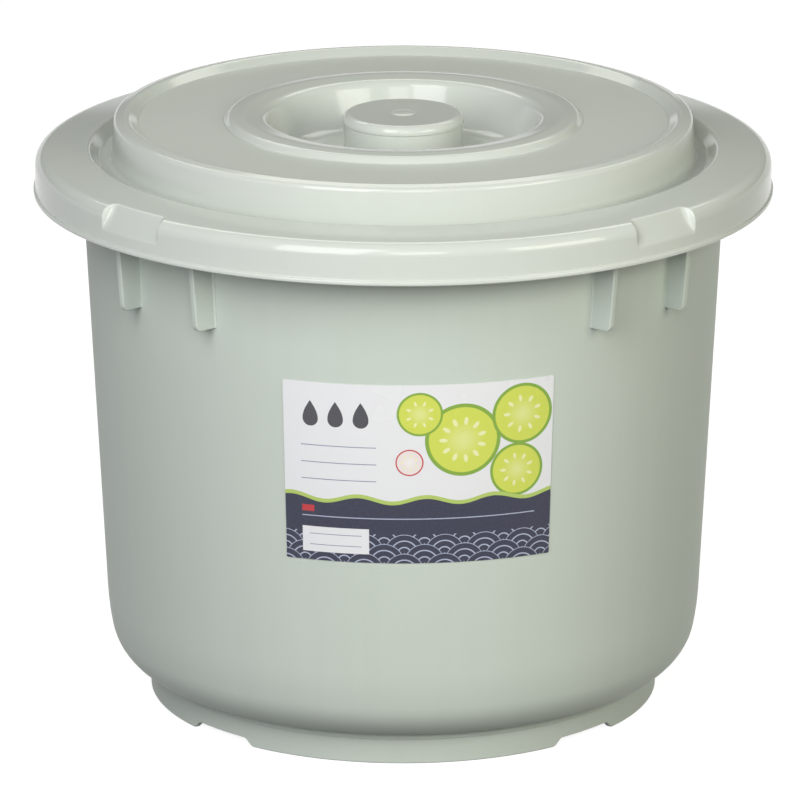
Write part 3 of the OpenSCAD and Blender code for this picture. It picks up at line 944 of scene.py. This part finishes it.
# %% The press lid, joined and cut
DRAIN_X = (HUB_R + STAND_R - PRESS_WALL) / 2
rounded_top = STIFF_Z - np.array([STIFF_ROUND, 0.35, 0.1, 0])
stiffener_levels = [PRESS_TOP - 1, PRESS_TOP + 0.5, 22.5, 24, 26, *rounded_top]
stiffener = linked("stiffener", lofted("stiffener", [stiffener_loop(z) for z in stiffener_levels]))
drain = linked("drain", lofted("drain", hole_loops(DRAIN_X, half_width=3.5, run=0)))
slot = linked("slot", lofted("slot", hole_loops(20, half_width=11, run=36)))
press_ring = ring_of_turns([(45, 2.25)])
press_lid = turned_piece("press_plate", press_outline, press_ring, PRESS_FINISH)
for tree, item, count, first in (
    (JOIN_AROUND, stiffener, 8.0, 22.5),
    (CUT_AROUND, drain, 16.0, 11.25),
    (CUT_AROUND, slot, 2.0, 0.0),
):
    worked(press_lid, tree, Item=item, Count=count, First=math.radians(first), Finish=PRESS_FINISH)
finished(press_lid, press_ring, stiffener, drain, slot)
stands_for(press_lid, "press_lid", "press_plastic", "press_lid")

# %% [markdown]
# ## The label
# The label is a printed film stuck on the front. It is drawn flat, as it is cut, with a width along X,
# a height along Z and its two faces along Y, and the tree then lays it round the tub's cone.

# %% The film as it is cut
LABEL_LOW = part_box("label")[0].z / MM
LABEL_W = 108
LABEL_H = 74
LABEL_CORNER = 0.5
GLUE = 0.1
FILM = 0.2
LABEL_TURN = math.radians(2.9 - 90)


def flat_film():
    """The film as it is cut: two faces and an edge, with rounded corners and a map of the print."""
    corner_rows = LABEL_CORNER * (1 - np.cos(np.radians(np.arange(0, 91, 15))))
    low_rows = np.array([*corner_rows, 6, 14, 22, 30])
    rows = [*low_rows, *(LABEL_H - low_rows[::-1])]
    across = np.linspace(-1, 1, 49)
    shape = bmesh.new()
    faces = []
    for lift in (GLUE, GLUE + FILM):
        grid = []
        for row in rows:
            half = LABEL_W / 2 - drop(min(row, LABEL_H - row), LABEL_CORNER)
            z = LABEL_LOW + row
            grid.append([shape.verts.new((half * u * MM, lift * MM, z * MM)) for u in across])
        faces.append(grid)
        for low, high in zip(grid, grid[1:]):
            for i in range(len(across) - 1):
                shape.faces.new((low[i], low[i + 1], high[i + 1], high[i]))
    rims = [
        [*grid[0], *[row[-1] for row in grid[1:]], *grid[-1][-2::-1], *[row[0] for row in grid[-2:0:-1]]]
        for grid in faces
    ]
    band(shape, *rims)
    bmesh.ops.recalc_face_normals(shape, faces=shape.faces)
    print_map = shape.loops.layers.uv.new("print")
    for face in shape.faces:
        for corner in face.loops:
            x, _, z = corner.vert.co / MM
            corner[print_map].uv = (x / LABEL_W + 0.5, (z - LABEL_LOW) / LABEL_H)
    return mesh_from("label_film", shape)


print("label film", LABEL_W, "by", LABEL_H, "mm,", FILM, "mm thick")


# %% Laying the film round the tub
wrap_sizes = {
    "Radius": wall_r(0) * MM,
    "Taper": TAPER,
    "Middle": wall_r(LABEL_LOW + LABEL_H / 2) * MM,
    "Turn": LABEL_TURN,
}


def wrap_tree():
    """Bends a flat film round the upright axis, at the cone's own radius for every height."""
    tree, given = geometry_tree("Wrap on a cone", *wrap_sizes)
    flat = place(tree, "ShaderNodeSeparateXYZ", {0: tree.nodes.new("GeometryNodeInputPosition")})
    x, lift, z = (Field(tree, flat.outputs[k]) for k in range(3))
    radius = given["Radius"] + given["Taper"] * z + lift
    turn = x / given["Middle"] + given["Turn"]
    spot = turned_vector(tree, radius, turn, z)
    bent = place(tree, "GeometryNodeSetPosition", {"Geometry": given["Geometry"], "Position": spot})
    return ended(tree, bent, given)


# %% [markdown]
# The print is worked out on the film's own map in millimetres: a white panel with slices of vegetable,
# three drops and empty lines for notes, over a dark blue band with a wavy edge and a pattern of waves.
# Each shape is a mask, soft over a tenth of a millimetre, and the colours are laid on in turn, like inks.

# %% A sheet that takes inks
PAPER = (0.77, 0.77, 0.79)
INK_EDGE = 0.12


def filled(depth):
    """A mask that is 1 where a depth inside a shape is over nothing, with a soft edge."""
    return (depth / INK_EDGE + 0.5).clipped()


class Sheet:
    """The print on the film: a point's place in millimetres, and the colour of the inks laid on so far."""

    def __init__(self, tree):
        chart = place(tree, "ShaderNodeUVMap", uv_map="print")
        spread = place(tree, "ShaderNodeSeparateXYZ", {0: chart})
        self.tree = tree
        self.u = Field(tree, spread.outputs[0]) * float(LABEL_W)
        self.v = Field(tree, spread.outputs[1]) * float(LABEL_H)
        self.colour = PAPER

    def ink(self, mask, colour):
        """Lays a colour on, as far as a mask says."""
        self.colour = mixed(self.tree, mask, self.colour, colour)

    def line(self, left, right, level, width):
        """A mask of a level line, or of a panel where the line is wide."""
        beside = (self.u - left).math("MINIMUM", right - self.u)
        return filled(beside.math("MINIMUM", width / 2 - (self.v - level).math("ABSOLUTE")))

    def below_ripple(self, level, height, length, start):
        """A mask of what lies below a wavy line."""
        wave = ((self.u + start) * (2 * math.pi / length)).math("SINE")
        return filled(wave * height + level - self.v)


# %% Slices of vegetable
SEED = (0.78, 0.8, 0.42)


def slice_of(sheet, cx, cy, radius, seeds, rind, flesh, heart):
    """Lays on a slice of a vegetable: its rind, its flesh, a soft paler heart and a ring of seeds."""
    out_u = sheet.u - cx
    out_v = sheet.v - cy
    far = (out_u * out_u + out_v * out_v).math("SQRT")
    sheet.ink(filled(radius - far), rind)
    sheet.ink(filled(radius * 0.9 - far), flesh)
    sheet.ink((1.0 - far / (radius * 0.62)).eased() * 0.8, heart)
    angle = out_v.math("ARCTAN2", out_u) * (seeds / (2 * math.pi))
    beside = (angle.math("FRACT") - 0.5).math("ABSOLUTE") * far * (2 * math.pi / seeds)
    along = (far - radius * 0.52).math("ABSOLUTE") * 0.5
    seed = radius * 0.055 - (beside * beside + along * along).math("SQRT")
    sheet.ink(filled(seed), SEED)


# %% Drops and waves
def drop_of_water(sheet, cx, cy, radius, height):
    """A mask of a drop: round below its middle, and drawn out to a tip above it."""
    up = sheet.v - cy
    below = up.math("MINIMUM", 0.0) / radius
    above = (up / height).clipped()
    round_half = (1.0 - below * below).math("MAXIMUM", 0.0).math("SQRT")
    half = round_half * (above * (math.pi / 2)).math("COSINE") * radius
    inside = half - (sheet.u - cx).math("ABSOLUTE")
    return filled(inside) * filled(up + radius) * filled(height - up)


def waves(sheet, width, thick):
    """A mask of rings in rows of overlapping circles, of which the lowest row's is in front."""
    step = width / 4
    row = (sheet.v / step).math("FLOOR")
    reach = sheet.v * 0.0
    for behind in (2.0, 1.0, 0.0, -1.0):
        level = row + behind
        across = ((sheet.u / width + level * 0.5).math("FRACT") - 0.5) * width
        up = sheet.v - level * step
        far = (across * across + up * up).math("SQRT")
        front = far.math("LESS_THAN", width / 2)
        reach = far * front + reach * (1.0 - front)
    ring = width / 6
    from_line = (0.5 - ((reach / ring).math("FRACT") - 0.5).math("ABSOLUTE")) * ring
    return filled(thick / 2 - from_line)


# %% The inks in their order
NAVY = (0.011, 0.013, 0.042)
RED = (0.5, 0.02, 0.03)
PALE_BLUE = (0.42, 0.46, 0.6)
NOTE_BLUE = (0.2, 0.22, 0.34)
DROP_GREY = (0.05, 0.05, 0.06)
EDGE_GREEN = (0.42, 0.55, 0.12)
GREEN_SLICE = ((0.2, 0.36, 0.03), (0.6, 0.66, 0.08), (0.72, 0.76, 0.3))
PALE_SLICE = (RED, (0.8, 0.72, 0.7), (0.85, 0.82, 0.8))
MARGIN = 7.0
RIPPLE = {"height": 1.3, "length": 27.0, "start": 4.0}
# The middle, the radius and the number of seeds of each green slice
SLICES = [
    (71.0, 51.0, 15.0, 11.0),
    (95.0, 60.0, 12.5, 9.0),
    (93.0, 37.0, 11.0, 9.0),
    (54.0, 62.0, 9.0, 8.0),
]


def printed(tree):
    """Lays every ink on a new sheet and gives the colour that comes out."""
    sheet = Sheet(tree)
    for cx, cy, radius, seeds in SLICES:
        slice_of(sheet, cx, cy, radius, seeds, *GREEN_SLICE)
    slice_of(sheet, 50.0, 42.0, 5.5, 7.0, *PALE_SLICE)
    for cx in (11.0, 21.0, 31.0):
        sheet.ink(drop_of_water(sheet, cx, 59.0, 3.1, 7.5), DROP_GREY)
    for level in (48.0, 41.0, 34.0):
        sheet.ink(sheet.line(MARGIN, 37.0, level, 0.35), NOTE_BLUE)
    sheet.ink(sheet.below_ripple(27.2, **RIPPLE), EDGE_GREEN)
    sheet.ink(sheet.below_ripple(25.6, **RIPPLE), NAVY)
    sheet.ink(waves(sheet, 16.0, 0.5) * filled(12.0 - sheet.v), PALE_BLUE)
    sheet.ink(sheet.line(MARGIN, LABEL_W - MARGIN, 18.5, 0.4), PALE_BLUE)
    sheet.ink(sheet.line(MARGIN, 34.0, 8.75, 10.5), PAPER)
    for level in (11.0, 6.5):
        sheet.ink(sheet.line(10.0, 31.0, level, 0.3), NOTE_BLUE)
    sheet.ink(sheet.line(MARGIN, 12.0, 21.6, 2.6), RED)
    return sheet.colour


# %% The film's finish, and the label on the tub
def label_print():
    """The film's finish: the print with a faint grain, on a surface that ripples a little."""
    material, tree, surface = new_material("printed_film")
    coords = tree.nodes.new("ShaderNodeTexCoord").outputs["Object"]
    ripples = place(tree, "ShaderNodeTexNoise", {"Vector": coords, "Scale": 45.0, "Detail": 2.0})
    grain = place(tree, "ShaderNodeTexNoise", {"Vector": coords, "Scale": 1600.0, "Detail": 1.0})
    relief = {"Height": ripples, "Distance": 0.15 * MM, "Strength": 0.5}
    looks = {
        "Base Color": mixed(tree, Field(tree, grain) * 0.05, printed(tree), (0.5, 0.5, 0.5)),
        "Roughness": Field(tree, ripples) * 0.12 + 0.2,
        "Normal": place(tree, "ShaderNodeBump", relief),
    }
    feed(tree, surface, looks)
    return material


LABEL_FINISH = label_print()
label = linked("front_label", flat_film())
worked(label, wrap_tree(), **wrap_sizes, Finish=LABEL_FINISH)
finished(label)
stands_for(label, "tub", "label_film", "label")

# %% [markdown]
# ## Floor and backdrop
# The container stands on a wide disc whose edge curves up into a round backdrop, like a studio's cove.
# Its material is grey for the light, and adds white of its own where the camera, a gloss or a glass shows
# it. So the background is white without more light on the object.

# %% The floor
FLOOR_SEEN = 0.9
FLOOR_GREY = (0.14, 0.14, 0.14)
FLOOR_PALE = (0.33, 0.33, 0.33)
FLOOR_GAP = 1e-4
COVE = [(6, 0), (6.6, 0.12), (6.93, 0.45), (7, 1.1)]


def cove_mesh(count):
    """A disc with its edge turned up, from rows of radius and height in metres with as many points each."""
    turns = np.arange(count) * (2 * math.pi / count)
    shape = bmesh.new()
    loops = [
        [shape.verts.new((r * math.cos(t), r * math.sin(t), z - FLOOR_GAP)) for t in turns] for r, z in COVE
    ]
    shape.faces.new(loops[0])
    for low, high in zip(loops, loops[1:]):
        band(shape, low, high)
    return mesh_from("floor", shape)


def seen(tree):
    """1 for rays that show a surface to the camera, directly or by reflection or through glass."""
    path = tree.nodes.new("ShaderNodeLightPath")
    direct = Field(tree, path.outputs["Is Camera Ray"])
    mirrored = direct.math("MAXIMUM", path.outputs["Is Glossy Ray"])
    return mirrored.math("MAXIMUM", path.outputs["Is Transmission Ray"])


def white_floor():
    """A floor that is grey for the light and adds white of its own where it is seen."""
    material, tree, surface = new_material("white_floor")
    shown = seen(tree)
    looks = {
        "Base Color": mixed(tree, shown, FLOOR_GREY, FLOOR_PALE),
        "Emission Color": (1, 1, 1, 1),
        "Emission Strength": shown * FLOOR_SEEN,
        "Roughness": 0.9,
        "Specular IOR Level": 0.0,
    }
    feed(tree, surface, looks)
    return material


floor = linked("floor", cove_mesh(72))
floor.data.materials.append(white_floor())
print("floor", len(floor.data.polygons), "faces")

# %% [markdown]
# ## Camera and light
# The camera stands where the photographer stood, far off and a little above. Two soft boxes stand in front,
# a tall cool one to the left and a smaller warm one to the right, with a small one between them. One more,
# high at the back, lights the far side. The studio above the backdrop gives little light and shows as a dim
# grey in the gloss, so that the lid's flats mirror nothing bright.

# %% Camera
FRAME = 800
FOCAL_PIXELS = 6743.84
CAMERA_SPOT = (-0.00133, -2.64628, 0.9191)
CAMERA_DIP = 0.2930657
scene = bpy.context.scene
scene.view_settings.view_transform = "Standard"
camera = linked("camera", bpy.data.cameras.new("camera"))
camera.data.lens = camera.data.sensor_width * FOCAL_PIXELS / FRAME
camera.location = CAMERA_SPOT
camera.rotation_euler = (math.pi / 2 - CAMERA_DIP, 0, 0)
scene.camera = camera
print("lens", round(camera.data.lens), "mm, looking down by", round(math.degrees(CAMERA_DIP), 1), "degrees")

# %% Lamps
LAMP_AWAY = 1.5
LAMP_AIM = Vector((0, 0, 0.12))


def lamp(name, azimuth, elevation, width, height, energy, colour):
    """A soft lamp that looks at the tub. Its azimuth is counted from the front towards +X."""
    data = bpy.data.lights.new(name, "AREA")
    data.shape = "RECTANGLE"
    data.size = width
    data.size_y = height
    data.energy = energy
    data.color = colour
    obj = linked(name, data)
    turn = math.radians(azimuth)
    rise = math.radians(elevation)
    away = Vector((math.sin(turn) * math.cos(rise), -math.cos(turn) * math.cos(rise), math.sin(rise)))
    obj.location = LAMP_AIM + away * LAMP_AWAY
    obj.rotation_euler = away.to_track_quat("Z", "Y").to_euler()


lamp("left_box", -25, 32, width=0.68, height=1.3, energy=17.8, colour=(0.97, 0.98, 1.0))
lamp("right_box", 47, 22, width=0.75, height=0.68, energy=9, colour=(1.0, 1.0, 0.86))
lamp("front_box", 4, 26, width=0.41, height=0.55, energy=3.5, colour=(1.0, 0.98, 1.0))
lamp("back_box", 180, 50, width=1.6, height=0.45, energy=6.4, colour=(1.0, 1.0, 0.92))

# %% The studio
AMBIENT = 0.07
STUDIO_SEEN = 0.2
world = bpy.data.worlds.new("studio")
scene.world = world
world.use_nodes = True
studio = world.node_tree
strength = seen(studio) * (STUDIO_SEEN - AMBIENT) + AMBIENT
feed(studio, studio.nodes["Background"], {"Color": (1, 1, 1, 1), "Strength": strength})
print("studio light", AMBIENT, "seen as", STUDIO_SEEN)
